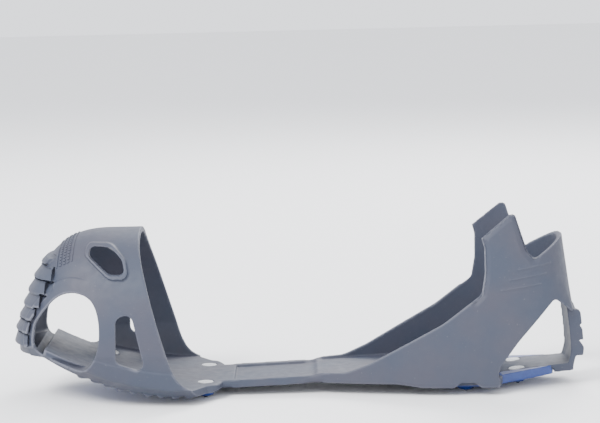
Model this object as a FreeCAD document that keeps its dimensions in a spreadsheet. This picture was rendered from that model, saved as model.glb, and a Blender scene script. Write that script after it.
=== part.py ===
import FreeCAD, Part, Sketcher
import math
import os

from FreeCAD import Placement, Rotation, Vector

# Pull-on ice cleat for a work boot: a stretchy harness in three sections, two stud
# plates under it and ten carbide-tipped studs.  Millimetres, toe towards -X, up is +Z,
# z = 0 is the ground under the stud tips.

SIZES = (
    # lengths of the three harness sections along the boot
    ("toe_length", 119.0, "nose of the harness to the flex line behind the ball"),
    ("web_length", 52.0, "free strap under the arch"),
    ("heel_length", 150.0, "strap joint to the back of the heel"),
    # widths and heights
    ("ball_half_width", 57.0, "half the outside width at the ball"),
    ("ball_from_nose", 101.1, "widest place of the toe, from the nose"),
    ("toe_height", 96.0, "top of the toe cap above the ground"),
    ("toe_dome_length", 51.0, "nose to where the top runs level"),
    ("nose_height", 38.0, "height at which the nose reaches furthest"),
    ("nose_rake", 0.75, "share by which the nose leans back just above that height"),
    ("side_height", 30.0, "height at which the toe is widest"),
    ("web_half_width", 25.0, "half the width of the arch strap"),
    ("heel_half_width", 41.0, "half the outside width at the heel"),
    ("heel_round_length", 49.9, "back of the heel to where its sides run straight"),
    ("heel_lean", 0.115, "forward lean of the back, per mm of height"),
    ("heel_taper", 0.0022, "narrowing of the heel, per mm of height"),
    ("form_top", 112.0, "top of the heel form, above every edge"),
    # moulding
    ("wall", 3.0, "thickness of the stretchy walls"),
    ("floor_thick", 4.5, "thickness of the floor under the sole"),
    ("floor_gap", 4.6, "floor's underside above the ground"),
    ("arch_rise", 2.0, "extra lift of the strap under the arch"),
    ("rocker_radius", 195.0, "toe spring under the forefoot"),
    ("rocker_from_nose", 108.1, "where the toe spring starts, from the nose"),
    ("chin_height", 27.0, "underside of the nose, where the toe spring ends"),
    # toe cap edges and openings, measured from the nose
    ("toe_edge_top", 73.1, "rear edge at the top"),
    ("toe_edge_low", 101.6, "rear edge where it meets the floor"),
    ("window_front", 12.0, "large opening: front end"),
    ("window_long", 39.0, "large opening: length"),
    ("window_low", 21.2, "large opening: lower edge above the ground"),
    ("window_tall", 43.4, "large opening: height"),
    ("port_front", 59.9, "small opening: front end"),
    ("port_long", 15.6, "small opening: length"),
    ("port_low", 22.3, "small opening: lower edge above the ground"),
    ("port_tall", 31.2, "small opening: height"),
    ("slot_front", 42.8, "top slot: front end of its lip"),
    ("slot_long", 24.6, "top slot: length over its lip"),
    ("slot_low", 72.4, "top slot: lower edge of its lip"),
    ("slot_tall", 18.6, "top slot: height over its lip"),
    ("lip_width", 2.1, "width of the lip round the slot"),
    ("lip_proud", 1.6, "height of the lip"),
    # bumper ribs and tread
    ("bumper_first", 33.0, "underside of the lowest bumper rib above the ground"),
    ("bumper_pitch", 7.6, "spacing of the bumper ribs"),
    ("bumper_rib", 6.4, "width of a bumper rib"),
    ("crown_rib", 3.0, "width of the short rib at the top of the bumper"),
    ("crown_half_width", 20.0, "half the length of the short rib"),
    ("bumper_proud", 2.6, "height of a bumper rib"),
    ("bumper_margin", 3.6, "plain frame between a rib's end and the large opening"),
    ("tread_pitch", 7.8, "spacing of the tread ridges along the floor"),
    ("tread_tall", 1.2, "height of a tread ridge"),
    ("tread_inner", 37.0, "tread ridges start this far from the middle"),
    # heel arms, tab, ankle band and back strap, measured from the back
    ("tab_front", 52.1, "front edge of the upright tab"),
    ("tab_back", 32.4, "back edge of the tab's peak"),
    ("tab_height", 102.5, "peak of the tab"),
    ("band_height", 88.0, "ankle band at the back"),
    ("valley_height", 77.4, "low place of the band behind the tab"),
    ("valley_back", 23.9, "low place of the band, from the back"),
    ("arm_height", 57.5, "arm's upper edge where it meets the tab"),
    ("arm_start", 12.3, "arm's upper edge at the strap joint"),
    ("vent_front", 45.6, "front of the rear side opening"),
    ("vent_height", 52.7, "top of the rear side opening"),
    ("vent_back", 14.1, "top corner of the rear side opening, from the back"),
    ("strap_half_width", 16.0, "half the width of the back strap"),
    ("strap_first", 17.2, "lowest ledge of the back strap above the ground"),
    ("strap_pitch", 9.3, "spacing of the back strap's sawteeth"),
    ("strap_tooth", 8.6, "length of a sawtooth down the strap"),
    ("strap_proud", 3.8, "depth of a sawtooth's ledge"),
    ("heel_floor_end", 11.3, "rear end of the heel floor, from the back"),
    ("bevel_start", 46.9, "where the heel bevel starts, from the back"),
    ("bevel_rise", 3.4, "rise of the heel bevel over its length"),
    # stud plates
    ("plate_thick", 3.0, "thickness of a stud plate"),
    ("plate_proud", 0.8, "stud plate's underside below the floor's"),
    ("plate_half_width", 34.0, "half the width of a stud plate"),
    ("fore_plate_front", 30.6, "front end of the forefoot plate, from the nose"),
    ("fore_plate_back", 116.6, "rear end of the forefoot plate, from the nose"),
    ("heel_plate_front", 78.4, "front end of the heel plate, from the back"),
    ("heel_plate_back", 11.6, "rear end of the heel plate, from the back"),
    ("rim_inner", 19.0, "inside of the heel plate's raised sides, from the middle"),
    # studs
    ("stud_row_pitch", 31.0, "spacing of the forefoot stud rows"),
    ("stud_last_row", 108.5, "rear forefoot row, from the nose"),
    ("stud_side", 25.0, "forefoot studs, from the middle"),
    ("heel_stud_front", 63.0, "front heel studs, from the back"),
    ("heel_stud_side", 24.0, "front heel studs, from the middle"),
    ("heel_stud_rear", 31.4, "rear heel studs, from the back"),
    ("heel_stud_rear_side", 12.5, "rear heel studs, from the middle"),
    ("boss_radius", 6.0, "stud boss at the plate"),
    ("boss_end_radius", 4.2, "stud boss at its end"),
    ("boss_end", 1.3, "end of a boss above the stud tip"),
    ("jacket_radius", 2.4, "steel jacket"),
    ("jacket_end", 0.9, "end of the jacket above the stud tip"),
    ("flange_radius", 4.6, "jacket's flange, sunk flush in the inner floor"),
    ("flange_thick", 1.0, "thickness of the flange"),
    ("tip_radius", 1.1, "carbide tip"),
    ("tip_length", 5.0, "carbide tip, seated part included"),
    ("fit_gap", 0.05, "clearance round a pressed-in jacket or tip"),
)

doc = FreeCAD.newDocument("ice_cleat")
sheet = doc.addObject("Spreadsheet::Sheet", "Sizes")
for row, (alias, value, note) in enumerate(SIZES, start=1):
    sheet.set("A%d" % row, alias)
    sheet.set("B%d" % row, str(value))
    sheet.set("C%d" % row, note)
    sheet.setAlias("B%d" % row, alias)
doc.recompute()


def size(alias):
    return float(getattr(sheet, alias))


# Landmarks along the boot, all worked out from the three section lengths.
TOTAL = size("toe_length") + size("web_length") + size("heel_length")
NOSE = -TOTAL / 2
BACK = TOTAL / 2
FLEX = NOSE + size("toe_length")
JOINT = FLEX + size("web_length")
BALL = NOSE + size("ball_from_nose")
ROCKER = NOSE + size("rocker_from_nose")
FAR = 400.0
DEEP = -8.0


def feature(name, shape, placement=None):
    """A document object holding a free-form shape."""
    thing = doc.addObject("Part::Feature", name)
    thing.Shape = shape
    thing.Placement = placement or Placement()
    thing.Label = name
    return thing


def boolean(kind, name, first, second):
    """A cut, or a common or fuse of two objects, as a document object."""
    thing = doc.addObject("Part::" + kind, name)
    thing.Base, thing.Tool = first, second
    thing.Label = name
    return thing


def joined(name, things):
    thing = doc.addObject("Part::MultiFuse", name)
    thing.Shapes = things
    thing.Label = name
    return thing


def rounded_outline(corners, plane="XZ"):
    """Closed face of straight edges with an arc of the given radius at each corner."""
    def point(u, v):
        return Vector(u, -FAR, v) if plane == "XZ" else Vector(u, v, -FAR)

    count = len(corners)
    starts, arcs, ends = [], [], []
    for index, (u, v, radius) in enumerate(corners):
        here = Vector(u, v, 0)
        before = Vector(*corners[index - 1][:2], 0) - here
        after = Vector(*corners[(index + 1) % count][:2], 0) - here
        half = before.getAngle(after) / 2
        reach = min(radius / math.tan(half), 0.45 * before.Length, 0.45 * after.Length)
        radius = reach * math.tan(half)
        before.normalize()
        after.normalize()
        start, end = here + before * reach, here + after * reach
        inward = (before + after).normalize()
        middle = here + inward * (radius / math.sin(half) - radius)
        starts.append(point(start.x, start.y))
        ends.append(point(end.x, end.y))
        arcs.append(Part.Arc(starts[-1], point(middle.x, middle.y), ends[-1]).toShape())
    edges = []
    for index in range(count):
        edges.append(arcs[index])
        edges.append(Part.makeLine(ends[index], starts[(index + 1) % count]))
    return Part.Face(Part.Wire(edges))


def curved_outline(points):
    """Closed smooth face through a few (x, z) points."""
    curve = Part.BSplineCurve()
    curve.interpolate([Vector(x, -FAR, z) for x, z in points], PeriodicFlag=True)
    return Part.Face(Part.Wire(curve.toShape()))


def through_sides(name, face):
    return feature(name, face.extrude(Vector(0, 2 * FAR, 0)))


def through_height(name, face):
    return feature(name, face.extrude(Vector(0, 0, 2 * FAR)))


# ---------------------------------------------------------------- forms of the boot

def toe_width(x, grow):
    """Half the width of the toe at station x."""
    full = size("ball_half_width") + grow
    reach = size("ball_from_nose") + grow
    share = max(0.0, (BALL - x) / reach)
    return full * (1 - share ** 2.6) ** (1 / 2.4)


def toe_top(x, grow):
    """Height of the toe's top line at station x."""
    low = size("nose_height")
    reach = size("toe_dome_length") + grow
    share = max(0.0, (NOSE + size("toe_dome_length") - x) / reach)
    rake = 1 - size("nose_rake") * share ** 6
    return low + (size("toe_height") + grow - low) * rake * math.sqrt(1 - share ** 2)


def rocker_height(x):
    """Underside of the forefoot floor at station x."""
    ahead = min(max(0.0, ROCKER - x), size("rocker_radius"))
    rise = size("rocker_radius") - math.sqrt(size("rocker_radius") ** 2 - ahead ** 2)
    return min(size("chin_height"), size("floor_gap") + rise)


def toe_section(x, grow):
    """Domed cross-section of the toe, tucked in along the edge of the floor."""
    width, top, floor = toe_width(x, grow), toe_top(x, grow), rocker_height(x)
    middle = max(size("side_height"), floor + 6)
    arch = []
    for step in range(17):
        angle = math.pi * step / 16
        flat = math.copysign(abs(math.cos(angle)) ** 0.83, math.cos(angle))
        arch.append(Vector(x, width * flat, middle + (top - middle) * math.sin(angle)))
    dome = Part.BSplineCurve()
    dome.interpolate(arch)
    below = [Vector(x, width * share, z) for share, z in
             ((0.94, floor + 5), (0.81, floor), (0.80, DEEP))]
    corners = [arch[-1]] + [Vector(x, -spot.y, spot.z) for spot in below]
    corners += below[::-1] + [arch[0]]
    sides = [Part.makeLine(*pair) for pair in zip(corners, corners[1:])]
    return Part.Wire([dome.toShape()] + sides)


def toe_form(name, grow):
    """Solid of the boot's toe, grown outward (or inward) from the harness's outside."""
    reach = size("ball_from_nose") + grow
    stations = [BALL + 45, BALL + 22]
    stations += [BALL - reach * math.sin(math.radians(turn))
                 for turn in (0, 12, 24, 36, 47, 57, 66, 73, 79, 83.5, 87)]
    wires = [toe_section(x, grow) for x in stations]
    return feature(name, Part.makeLoft(wires, True, False))


def heel_back(z):
    return BACK - size("heel_lean") * max(0.0, z - size("side_height"))


def heel_plan(z, grow):
    """Plan outline of the heel at height z: straight sides and a round back."""
    narrow = 1 - size("heel_taper") * max(0.0, z - 15)
    straight = BACK - size("heel_round_length")
    back = heel_back(z) + grow
    front = JOINT - 12
    web, full = size("web_half_width") + grow, size("heel_half_width") * narrow + grow
    near = []
    for x in (front, JOINT, JOINT + 20, JOINT + 45, JOINT + 72):
        share = min(1.0, max(0.0, (x - JOINT) / (straight - JOINT)))
        near.append((x, web + (full - web) * math.sin(share * math.pi / 2)))
    for turn in (0, 20, 38, 54, 68, 80):
        angle = math.radians(turn)
        near.append((straight + (back - straight) * math.sin(angle) ** 0.9,
                     full * math.cos(angle) ** 0.9))
    side = [Vector(x, -y, z) for x, y in near]
    side.append(Vector(back, 0, z))
    side += [Vector(x, y, z) for x, y in reversed(near)]
    curve = Part.BSplineCurve()
    curve.interpolate(side)
    return Part.Wire([curve.toShape(), Part.makeLine(side[-1], side[0])])


def heel_form(name, grow):
    heights = (DEEP, size("side_height"), 70.0, size("form_top"))
    return feature(name, Part.makeLoft([heel_plan(z, grow) for z in heights], True, False))


# ---------------------------------------------------------------- floor profiles

def rocker_arc(rise, front):
    """Floor line of the forefoot at a height above its underside: (start, middle, end)."""
    radius = size("rocker_radius") - rise
    centre = size("floor_gap") + size("rocker_radius")
    level = math.acos((centre - size("chin_height") - rise) / radius)
    swing = min(level, math.asin(min(0.95, (ROCKER - front) / radius)))

    def spot(angle):
        return Vector(ROCKER - radius * math.sin(angle), -FAR,
                      centre - radius * math.cos(angle))
    return spot(swing), spot(swing / 2), spot(0.0)


def above_toe_floor(name, rise, back):
    """Everything above the forefoot floor line, as far back as the given place."""
    arc = rocker_arc(rise, NOSE)
    front, top = NOSE - 12, FAR / 2
    corners = [arc[2], Vector(back, -FAR, arc[2].z), Vector(back, -FAR, top),
               Vector(front, -FAR, top), Vector(front, -FAR, arc[0].z), arc[0]]
    edges = [Part.Arc(*arc).toShape()]
    edges += [Part.makeLine(*pair) for pair in zip(corners, corners[1:])]
    return through_sides(name, Part.Face(Part.Wire(edges)))


def heel_floor_line(rise):
    """Heel floor line at a height above its underside, joint to back, as (x, z)."""
    base = size("floor_gap") + rise
    bevel = BACK - size("bevel_start")
    return ((JOINT, base + size("arch_rise")), (JOINT + 48, base + size("arch_rise")),
            (JOINT + 62, base), (bevel, base),
            (BACK, base + size("bevel_rise") * 1.25), (BACK + 20, base + 30))


def above_heel_floor(name, rise):
    corners = [(x, z, 0.5) for x, z in heel_floor_line(rise)]
    corners += [(BACK + 20, FAR / 2, 1.0), (JOINT, FAR / 2, 1.0)]
    return through_sides(name, rounded_outline(corners))


# ---------------------------------------------------------------- openings

def window_face(margin):
    """Large side opening of the toe cap, or its frame when a margin is given."""
    x = NOSE + size("window_front") - margin
    z = size("window_low") - margin
    length, tall = size("window_long") + 2 * margin, size("window_tall") + 2 * margin
    shares = ((0.0, 0.40), (0.09, 0.18), (0.28, 0.11), (0.52, 0.03), (0.74, 0.0),
              (0.91, 0.16), (0.99, 0.42), (0.975, 0.72), (0.87, 0.92), (0.66, 1.0),
              (0.40, 0.95), (0.18, 0.76), (0.04, 0.58))
    return curved_outline([(x + length * u, z + tall * v) for u, v in shares])


def port_face():
    """Small side opening: a rounded trapezoid that narrows at the top."""
    x, z = NOSE + size("port_front"), size("port_low")
    length, tall = size("port_long"), size("port_tall")
    return rounded_outline(((x, z + 0.12 * tall, 4), (x + 0.86 * length, z - 0.02 * tall, 3.4),
                            (x + length, z + 0.1 * tall, 3.4),
                            (x + 0.6 * length, z + tall, 5),
                            (x + 0.02 * length, z + 0.94 * tall, 7)))


def slot_face(inset):
    """Top slot, a slanting rounded parallelogram, inside its lip by the inset."""
    x, z = NOSE + size("slot_front") + inset, size("slot_low") + inset
    length, tall = size("slot_long") - 2 * inset, size("slot_tall") - 2 * inset
    return rounded_outline(((x - 0.02 * length, z + 0.68 * tall, 3),
                            (x + 0.57 * length, z, 6), (x + 1.03 * length, z - 0.01 * tall, 4),
                            (x + 0.94 * length, z + 0.55 * tall, 7),
                            (x + 0.6 * length, z + tall, 8),
                            (x + 0.04 * length, z + 1.02 * tall, 4)))


# ---------------------------------------------------------------- stud plates

def stud_places():
    """(name, tilt, x, y) of each stud; the tilt follows the floor it stands on."""
    places = []
    for line, row in enumerate(("rear", "mid", "front")):
        x = NOSE + size("stud_last_row") - line * size("stud_row_pitch")
        tilt = math.asin(max(0.0, (ROCKER - x) / size("rocker_radius")))
        for side, sign in (("left", -1), ("right", 1)):
            places.append(("fore_%s_%s" % (row, side), tilt, x, sign * size("stud_side")))
    slope = -math.atan(size("bevel_rise") * 1.25 / size("bevel_start"))
    for side, sign in (("left", -1), ("right", 1)):
        places.append(("heel_front_%s" % side, 0.0, BACK - size("heel_stud_front"),
                       sign * size("heel_stud_side")))
        places.append(("heel_rear_%s" % side, slope, BACK - size("heel_stud_rear"),
                       sign * size("heel_stud_rear_side")))
    return places


def stud_placement(tilt, x, y):
    """Stands a stud, drawn tip down on its own origin, square to the floor at x."""
    gap = size("floor_gap")
    if tilt >= 0:
        surface = gap + size("rocker_radius") * (1 - math.cos(tilt))
    else:
        surface = gap + (x - BACK + size("bevel_start")) * math.tan(-tilt)
    tip_x = x + gap * math.sin(tilt)
    tip_z = surface - gap * math.cos(tilt)
    return Placement(Vector(tip_x, y, tip_z), Rotation(Vector(0, 1, 0), math.degrees(tilt)))


def revolved_body(name, corners, placement):
    """PartDesign body: a closed profile of (radius, height) expressions turned about Z."""
    body = doc.addObject("PartDesign::Body", name)
    plane = next(part for part in body.Origin.OriginFeatures if part.Role == "XZ_Plane")
    sketch = body.newObject("Sketcher::SketchObject", name + "_profile")
    sketch.AttachmentSupport = (plane, "")
    sketch.MapMode = "FlatFace"
    bound_polygon(sketch, corners)
    turn = body.newObject("PartDesign::Revolution", name + "_turn")
    turn.Profile = sketch
    turn.ReferenceAxis = (sketch, ["V_Axis"])
    turn.Angle = 360
    body.Tip = turn
    body.Placement = placement
    body.Label = name
    return body


def bound_polygon(sketch, corners):
    """Closed polygon whose corners are held by expressions of the sheet's sizes."""
    spots = [(value_of(u), value_of(v)) for u, v in corners]
    count = len(spots)
    for index, (u, v) in enumerate(spots):
        after = spots[(index + 1) % count]
        sketch.addGeometry(Part.LineSegment(Vector(u, v, 0), Vector(*after, 0)), False)
    for index in range(count):
        sketch.addConstraint(Sketcher.Constraint("Coincident", index, 2, (index + 1) % count, 1))
    for index, (u, v) in enumerate(corners):
        for kind, words, number in (("DistanceX", u, spots[index][0]),
                                    ("DistanceY", v, spots[index][1])):
            place = sketch.addConstraint(Sketcher.Constraint(kind, -1, 1, index, 1, number))
            sketch.setExpression("Constraints[%d]" % place, words)


def value_of(words):
    """Number that an expression of the sheet's sizes stands for."""
    return float(FreeCAD.Units.Quantity(sheet.evalExpression(words)).Value)


def plate(name, profile, plan, places, extras=()):
    """Stud plate: a band of the floor's underside inside a plan outline, with bosses."""
    band = boolean("Common", name + "_band", profile, plan)
    bosses, bores = list(extras), []
    for stud, tilt, x, y in places:
        boss = doc.addObject("Part::Cone", "boss_" + stud)
        boss.setExpression("Radius1", "Sizes.boss_end_radius")
        boss.setExpression("Radius2", "Sizes.boss_radius")
        boss.setExpression("Height", "Sizes.floor_gap - Sizes.boss_end + 1")
        stand = stud_placement(tilt, x, y)
        boss.Placement = stand.multiply(Placement(Vector(0, 0, size("boss_end")), Rotation()))
        bosses.append(boss)
        bores.append(stud_bore(name, stud, stand))
    solid = joined(name + "_solid", [band] + bosses)
    return boolean("Cut", name, solid, joined(name + "_bores", bores))


def stud_bore(owner, stud, stand):
    """Bore for a stud's jacket, with a counterbore for its flange at the floor's top."""
    bore = doc.addObject("Part::Cylinder", "%s_bore_%s" % (owner, stud))
    bore.setExpression("Radius", "Sizes.jacket_radius + Sizes.fit_gap")
    bore.Height = 30
    bore.Placement = stand.multiply(Placement(Vector(0, 0, -5), Rotation()))
    sink = doc.addObject("Part::Cylinder", "%s_sink_%s" % (owner, stud))
    sink.setExpression("Radius", "Sizes.flange_radius + Sizes.fit_gap")
    sink.Height = 10
    depth = size("floor_gap") + size("floor_thick") - size("flange_thick")
    sink.Placement = stand.multiply(Placement(Vector(0, 0, depth), Rotation()))
    return boolean("Fuse", "%s_stepped_bore_%s" % (owner, stud), bore, sink)


def rocker_band(name, low, high, front, back):
    """Band of the forefoot floor between two heights, as a solid right across."""
    lower, upper = rocker_arc(low, front), rocker_arc(high, front)
    ends = Vector(back, -FAR, lower[2].z), Vector(back, -FAR, upper[2].z)
    edges = [Part.Arc(*lower).toShape(), Part.makeLine(lower[2], ends[0]),
             Part.makeLine(*ends), Part.makeLine(ends[1], upper[2]),
             Part.Arc(upper[2], upper[1], upper[0]).toShape(),
             Part.makeLine(upper[0], lower[0])]
    return through_sides(name, Part.Face(Part.Wire(edges)))


def fore_plate_profile(name, low, high):
    """Part of the forefoot floor's band that the plate takes up."""
    return rocker_band(name, low, high, NOSE + size("fore_plate_front"),
                       NOSE + size("fore_plate_back"))


def window_cut():
    """Large side openings, which leave the floor above the plate whole."""
    half = size("plate_half_width")
    middle = rounded_outline([(NOSE, -half, 2), (FLEX, -half, 2), (FLEX, half, 2),
                              (NOSE, half, 2)], "XY")
    floor = boolean("Common", "floor_middle",
                    rocker_band("floor_side", 0.0, size("floor_thick"), NOSE, FLEX),
                    through_height("floor_plan", middle))
    return boolean("Cut", "toe_window_cut", through_sides("toe_window", window_face(0.0)), floor)


def heel_plate_profile(name, low, high):
    line = heel_floor_line(0.0)
    front, back = BACK - size("heel_plate_front"), BACK - size("heel_plate_back")
    slope = size("bevel_rise") * 1.25 / size("bevel_start")
    bevel = line[3][0]
    base = size("floor_gap")
    rise = (back - bevel) * slope
    corners = ((front, base + low, 0.3), (bevel, base + low, 0.5),
               (back, base + low + rise, 0.3), (back, base + high + rise, 0.3),
               (bevel, base + high, 0.5), (front, base + high, 0.3))
    return through_sides(name, rounded_outline(corners))


def mirrored_plan(half, radius=4.0):
    """Plan outline from its half: (x, half-width) pairs, front to back."""
    corners = [(x, -y, radius) for x, y in half]
    corners += [(x, y, radius) for x, y in reversed(half)]
    return rounded_outline(corners, "XY")


def fore_plate_plan():
    front, back = NOSE + size("fore_plate_front"), NOSE + size("fore_plate_back")
    wide = size("plate_half_width")
    return mirrored_plan(((front, 0.55 * wide), (front + 12, wide), (BALL - 8, wide),
                          (BALL - 2, 0.9 * wide), (BALL + 2, wide), (back - 4, wide),
                          (back, 0.55 * wide)))


def heel_plate_plan():
    front, back = BACK - size("heel_plate_front"), BACK - size("heel_plate_back")
    wide = size("plate_half_width")
    return mirrored_plan(((front, 0.6 * wide), (front + 6, 0.94 * wide),
                          (front + 26, 0.97 * wide), (back - 6, size("strap_half_width") + 3),
                          (back, size("strap_half_width"))))


def heel_plate_rims():
    """Raised sides of the heel plate, up to the floor's top behind the arms."""
    front = BACK - size("vent_front") + 2.0
    middle = through_height("rim_middle", rounded_outline((
        (front - 60, -90, 1), (front, -90, 1), (front, -size("rim_inner"), 4),
        (BACK + 20, -size("rim_inner") + 6, 1), (BACK + 20, size("rim_inner") - 6, 1),
        (front, size("rim_inner"), 4), (front, 90, 1), (front - 60, 90, 1)), "XY"))
    tall = heel_plate_profile("rim_side", -size("plate_proud"), size("floor_thick"))
    return boolean("Cut", "heel_rims", boolean("Common", "rim_band", tall, through_height(
        "rim_plan", heel_plate_plan())), middle)


# ---------------------------------------------------------------- harness sections

def toe_shell():
    """Toe cap: a thin wall round the toe over the rockered floor, open at the back."""
    outer = boolean("Common", "toe_outside", toe_form("toe_outer_form", 0.0),
                    above_toe_floor("toe_under_line", 0.0, FLEX))
    inner = boolean("Common", "toe_inside", toe_form("toe_inner_form", -size("wall")),
                    above_toe_floor("toe_floor_line", size("floor_thick"), FAR))
    return outer, inner


def toe_rear_cut():
    """Everything behind the toe cap's rear edge, above the floor."""
    top, low = NOSE + size("toe_edge_top"), NOSE + size("toe_edge_low")
    floor = size("floor_gap") + size("floor_thick")
    height = size("toe_height")
    edge = Part.BSplineCurve()
    edge.interpolate([Vector(x, -FAR, z) for x, z in (
        (top + 1.2, height + 10), (top + 0.5, height - 10), (top + 3.6, height - 24),
        (top + 9.4, height - 46), (top + 15.5, 0.30 * height), (low - 6, floor + 4.5),
        (low + 2, floor))])
    last, first = edge.EndPoint, edge.StartPoint
    corners = [last, Vector(FAR, -FAR, floor), Vector(FAR, -FAR, FAR / 2),
               Vector(first.x, -FAR, FAR / 2), first]
    edges = [edge.toShape()]
    edges += [Part.makeLine(corners[i], corners[i + 1]) for i in range(4)]
    return through_sides("toe_rear_cut", Part.Face(Part.Wire(edges)))


def toe_waist_cut():
    """Trims the floor behind the ball in to the width of the arch strap."""
    low, web = NOSE + size("toe_edge_low"), size("web_half_width")
    wide = size("plate_half_width") + 2.5
    cuts = []
    for side, sign in (("left", -1), ("right", 1)):
        corners = ((low, 90), (low + 0.5, size("ball_half_width") - 6), (low + 8, wide + 2),
                   (FLEX - 3, wide - 2), (FLEX, web), (FLEX + 40, web), (FLEX + 40, 90))
        cuts.append(through_height("toe_waist_" + side, rounded_outline(
            [(x, sign * y, 4.0) for x, y in corners], "XY")))
    return joined("toe_waist_cut", cuts)


def bumper_ribs(outer_frame):
    """Horizontal ribs round the nose, clear of the side openings' frames."""
    skin = toe_form("bumper_form", size("bumper_proud"))
    slabs = []
    for index, reach in enumerate((12, 12, 13, 16, 19, 23, 23)):
        crown = index == 6
        half = size("crown_half_width") if crown else FAR
        slab = doc.addObject("Part::Box", "bumper_slab_%d" % (index + 1))
        slab.Length, slab.Width = reach + 10, 2 * half
        slab.setExpression("Height", "Sizes.crown_rib" if crown else "Sizes.bumper_rib")
        slab.Placement = Placement(Vector(NOSE - 10, -half, size("bumper_first")
                                          + index * size("bumper_pitch")), Rotation())
        slabs.append(slab)
    ribs = boolean("Common", "bumper_bands", joined("bumper_slabs", slabs), skin)
    return boolean("Cut", "bumper_ribs", ribs, outer_frame)


def tread_ridges(outer_form):
    """Sawtooth ridges across both edges of the forefoot floor, steep side forward."""
    bars = []
    radius, tall = size("rocker_radius"), size("tread_tall")
    centre = size("floor_gap") + radius
    step = math.degrees(size("tread_pitch") / radius)
    for index in range(9):
        tooth = Part.makePolygon([Vector(-3.4, -FAR, 1.0), Vector(-3.0, -FAR, -0.7 * tall),
                                  Vector(-2.2, -FAR, -tall), Vector(-0.6, -FAR, -tall),
                                  Vector(3.6, -FAR, 0.3), Vector(3.6, -FAR, 1.0),
                                  Vector(-3.4, -FAR, 1.0)])
        bar = Part.Face(tooth).extrude(Vector(0, 2 * FAR, 0))
        turn = Placement(Vector(), Rotation(Vector(0, 1, 0), (index + 0.9) * step),
                         Vector(ROCKER, 0, centre))
        stand = turn.multiply(Placement(Vector(ROCKER, 0, size("floor_gap")), Rotation()))
        bars.append(feature("tread_bar_%d" % (index + 1), bar, stand))
    inner = doc.addObject("Part::Box", "tread_middle")
    inner.Length, inner.Height = 2 * FAR, FAR
    inner.setExpression("Width", "2 * Sizes.tread_inner")
    inner.Placement = Placement(Vector(-FAR, -size("tread_inner"), -FAR / 2), Rotation())
    teeth = boolean("Cut", "tread_teeth", joined("tread_bars", bars), inner)
    return boolean("Common", "tread_ridges", teeth, outer_form)


def toe_harness(fore_plate_band, places):
    outer, inner = toe_shell()
    slot_lip = boolean("Common", "slot_lip", toe_form("slot_lip_form", size("lip_proud")),
                       through_sides("slot_rim", slot_face(0.0)))
    frame = through_sides("window_frame", window_face(size("bumper_margin")))
    cover = joined("toe_solid", [outer, slot_lip, bumper_ribs(frame),
                                 tread_ridges(toe_form("tread_form", 0.0))])
    openings = joined("toe_openings", [
        window_cut(), through_sides("toe_port", port_face()),
        through_sides("toe_slot", slot_face(size("lip_width")))])
    bores = joined("toe_bores", [stud_bore("toe", stud, stud_placement(tilt, x, y))
                                 for stud, tilt, x, y in places])
    shell = boolean("Cut", "toe_hollow", cover, inner)
    shell = boolean("Cut", "toe_trimmed", shell, toe_rear_cut())
    shell = boolean("Cut", "toe_pierced", shell, openings)
    shell = boolean("Cut", "toe_waisted", shell, toe_waist_cut())
    shell = boolean("Cut", "toe_recessed", shell, fore_plate_band)
    return boolean("Cut", "toe_harness", shell, bores)


def web():
    """Arch strap: a flat band with a shallow channel along its top, rising to the heel."""
    body = doc.addObject("PartDesign::Body", "arch_web")
    plane = next(part for part in body.Origin.OriginFeatures if part.Role == "XZ_Plane")
    start = "(Sizes.toe_length - Sizes.web_length - Sizes.heel_length) / 2"
    end = "(Sizes.toe_length + Sizes.web_length - Sizes.heel_length) / 2"
    low, high = "Sizes.floor_gap", "Sizes.floor_gap + Sizes.floor_thick"
    strip = body.newObject("Sketcher::SketchObject", "web_side")
    strip.AttachmentSupport, strip.MapMode = (plane, ""), "FlatFace"
    bound_polygon(strip, ((start, low), (end, low + " + Sizes.arch_rise"),
                          (end, high + " + Sizes.arch_rise"), (start, high)))
    pad = body.newObject("PartDesign::Pad", "web_pad")
    pad.Profile, pad.Midplane = strip, True
    pad.setExpression("Length", "2 * Sizes.web_half_width")
    hollow = body.newObject("Sketcher::SketchObject", "web_channel_side")
    hollow.AttachmentSupport, hollow.MapMode = (plane, ""), "FlatFace"
    bound_polygon(hollow, ((start + " + 6", high + " - 1"),
                           (end, high + " + Sizes.arch_rise - 1.3"),
                           (end, high + " + Sizes.arch_rise + 5"),
                           (start + " + 6", high + " + 5")))
    channel = body.newObject("PartDesign::Pocket", "web_channel")
    channel.Profile, channel.Midplane = hollow, True
    channel.setExpression("Length", "2 * Sizes.web_half_width - 10")
    body.Tip = channel
    body.Placement = Placement()
    body.Label = "arch_web"
    return body


def heel_outline_face():
    """Side outline of arms, tab and ankle band, as one face reaching below the floor."""
    front, back = BACK - size("tab_front"), BACK - size("tab_back")
    arm, start = size("arm_height"), size("arm_start")
    peak = size("tab_height")
    return rounded_outline((
        (JOINT, start, 0.2), (JOINT + 18, start + 0.4, 20), (JOINT + 32, start + 6, 30),
        (front - 24, arm - 16.5, 30), (front - 2, arm, 6), (front, arm + 12, 10),
        (front, peak - 19, 5), (front - 1.6, peak - 13, 1.0), (back - 5, peak, 1.2),
        (back - 1.6, peak, 1.6), (back + 5, size("valley_height") + 3, 5),
        (BACK - size("valley_back"), size("valley_height") - 1.2, 7),
        (BACK - 7, size("band_height"), 12), (BACK + 14, size("band_height") + 1, 1.0),
        (BACK + 14, DEEP, 1.0), (JOINT, DEEP, 0.2)))


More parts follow.
